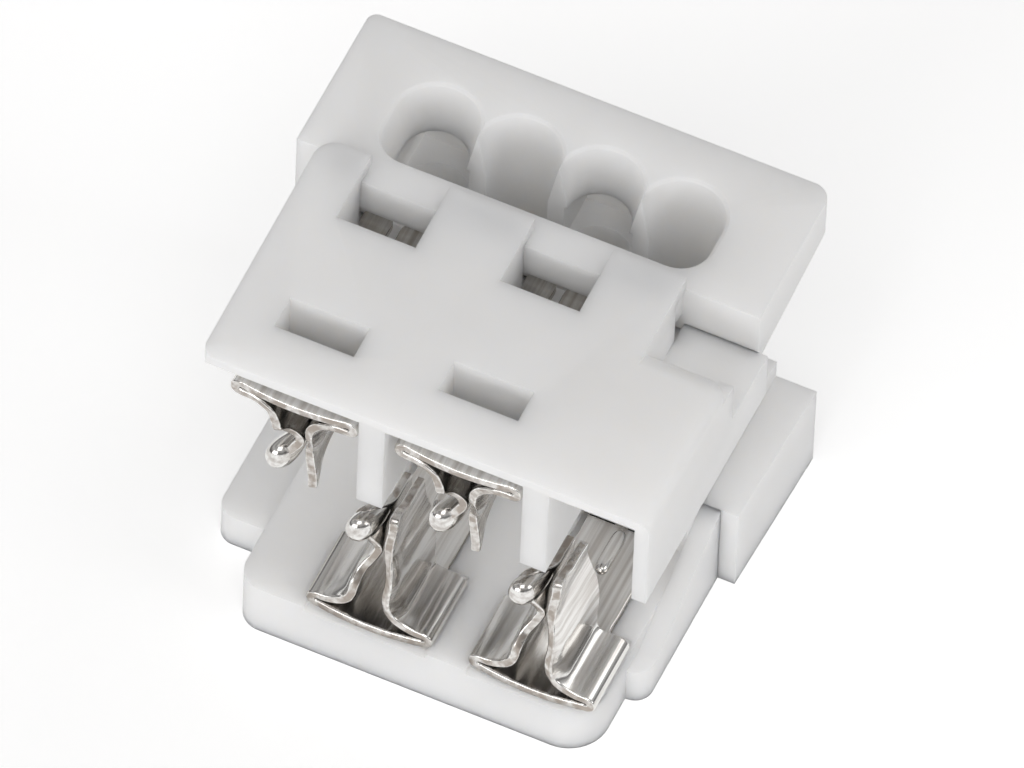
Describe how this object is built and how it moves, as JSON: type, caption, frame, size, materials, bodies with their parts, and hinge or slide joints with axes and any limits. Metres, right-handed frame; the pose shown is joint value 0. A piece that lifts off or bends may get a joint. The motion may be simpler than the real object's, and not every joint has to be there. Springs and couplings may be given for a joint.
{
  "type": "ribbon cable connector plug",
  "caption": "Ribbon cable connector: moulded housing with windows, staggered forked contacts with two fins each, and a cover with a scalloped cable slot.",
  "frame": {"origin": "on the back face, under the middle of the four circuits, half way between the mating end and the cable end", "axes": "+X along the row of circuits towards the notched end, +Y towards the cable end, +Z out of the windowed front wall"},
  "size_m": [0.0074, 0.0066, 0.0068],
  "materials": {
    "housing_plastic": "natural white moulded plastic, slightly translucent, soft sheen",
    "cover_plastic": "natural white moulded plastic, slightly translucent, soft sheen",
    "contact_metal": "bright tin plating over bronze strip, smooth bends, cut edges slightly warmer"
  },
  "bodies": {
    "root": {"housing": "housing_plastic", "cover": "cover_plastic", "contact_1": "contact_metal", "contact_2": "contact_metal", "contact_3": "contact_metal", "contact_4": "contact_metal"}
  },
  "joints": []
}
